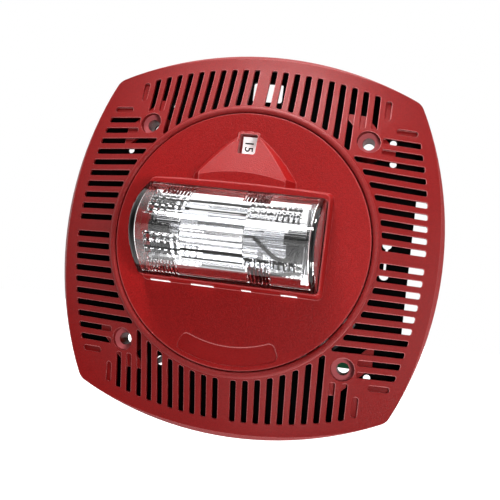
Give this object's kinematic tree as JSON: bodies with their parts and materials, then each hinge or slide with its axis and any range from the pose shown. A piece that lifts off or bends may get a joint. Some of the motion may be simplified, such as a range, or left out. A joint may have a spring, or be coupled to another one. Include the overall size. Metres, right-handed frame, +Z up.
{
  "type": "horn strobe",
  "caption": "Wall-mounted fire alarm speaker strobe: a square slotted grille around a round housing that carries a clear arched flash lens, over a small loudspeaker and its line transformer.",
  "frame": {"origin": "centre of the grille plate on the wall plane", "axes": "+Z up the wall, -Y out of the wall towards the viewer, +X to the viewer's right"},
  "size_m": [0.1662, 0.1006, 0.1662],
  "materials": {
    "red_plastic": "moulded red fire-resistant plastic with a fine matte texture",
    "black_plastic": "moulded black plastic",
    "frame_black": "pressed steel, black powder coat",
    "clear_lens": "clear moulded polycarbonate with prism ribs",
    "tube_glass": "clear glass flash tube",
    "mirror": "vacuum-metallised reflector",
    "black_rubber": "soft black silicone",
    "clear_silicone": "clear silicone bead",
    "black_wire": "black sleeved wire",
    "red_wire": "red sleeved wire",
    "grey_cable": "grey sheathed cable",
    "board_green": "green solder resist over fibreglass",
    "nylon": "natural nylon",
    "capacitor_sleeve": "dark heat-shrunk sleeve over an aluminium can",
    "resin_amber": "amber resin over fine windings",
    "ferrite": "sintered dark ferrite",
    "chip_black": "black moulded component bodies",
    "zinc_steel": "zinc-plated steel",
    "label_white": "white printed label",
    "basket_steel": "pressed steel basket, black paint",
    "gasket_paper": "black fibre gasket",
    "surround_cloth": "doped cloth half roll",
    "spider_cloth": "resin-stiffened yellow cloth",
    "cone_paper": "pressed black paper pulp",
    "aluminium_foil": "aluminium foil former",
    "copper": "enamelled copper wire",
    "fibre_board": "phenolic fibre strip with tinned tabs",
    "core_steel": "stacked laminations",
    "winding_tape": "yellow polyester tape over the winding",
    "terminal_green": "green moulded terminal block",
    "brass": "brass clamps"
  },
  "bodies": {
    "base": {"audio_board": "board_green", "audio_header": "nylon", "blocking_capacitor": "capacitor_sleeve", "board_pillars": "zinc_steel", "board_screws": "zinc_steel", "board_spacers": "nylon", "bridge_screws": "zinc_steel", "cover_screws": "zinc_steel", "flash_capacitor": "capacitor_sleeve", "flash_tube": "tube_glass", "front_pole_plate": "zinc_steel", "grille_plate": "red_plastic", "inductor": "ferrite", "lens_gasket": "clear_silicone", "mounting_frame": "frame_black", "pillar_nuts": "zinc_steel", "pole_yoke": "zinc_steel", "power_tap_body": "black_plastic", "power_transistor": "chip_black", "rear_cover": "black_plastic", "reflector": "mirror", "ring_magnet": "ferrite", "selector_switch": "black_plastic", "speaker_basket": "basket_steel", "speaker_gasket": "gasket_paper", "speaker_leads": "red_wire", "speaker_nuts": "zinc_steel", "speaker_screws": "zinc_steel", "speaker_spider": "spider_cloth", "speaker_surround": "surround_cloth", "speaker_terminals": "fibre_board", "strobe_board": "board_green", "strobe_board_nuts": "zinc_steel", "strobe_board_screws": "zinc_steel", "strobe_bridge": "black_plastic", "strobe_chips": "chip_black", "strobe_harness": "grey_cable", "strobe_header": "nylon", "strobe_housing": "red_plastic", "strobe_lens": "clear_lens", "terminal_block": "terminal_green", "terminal_clamps": "brass", "terminal_screws": "zinc_steel", "transformer_bobbin": "nylon", "transformer_core": "core_steel", "transformer_winding": "winding_tape", "trigger_lead": "black_wire", "trigger_transformer": "resin_amber", "tube_boots": "black_rubber", "voltage_switch_body": "zinc_steel"},
    "selector": {"selector_carrier": "red_plastic", "selector_label": "label_white", "selector_wiper": "nylon"},
    "cone": {"speaker_cone": "cone_paper", "dust_cap": "cone_paper", "coil_former": "aluminium_foil", "voice_coil": "copper"},
    "power_tap": {"power_tap_knob": "nylon"},
    "voltage_selector": {"voltage_slider": "black_plastic"}
  },
  "joints": [
    {"name": "candela_slide", "type": "slide", "parent": "base", "child": "selector", "axis": [-1, 0, 0], "range_m": [0, 0.018]},
    {"name": "cone_travel", "type": "slide", "parent": "base", "child": "cone", "axis": [0, -1, 0], "range_m": [-0.0012, 0.0012], "stiffness_N_per_m": 3500, "deforming": ["speaker_surround", "speaker_spider"]},
    {"name": "power_tap_turn", "type": "hinge", "parent": "base", "child": "power_tap", "pos_m": [0.004, 0.03, -0.033], "axis": [0, 1, 0], "range_deg": [0, 90]},
    {"name": "line_voltage_slide", "type": "slide", "parent": "base", "child": "voltage_selector", "axis": [1, 0, 0], "range_m": [0, 0.003]}
  ]
}
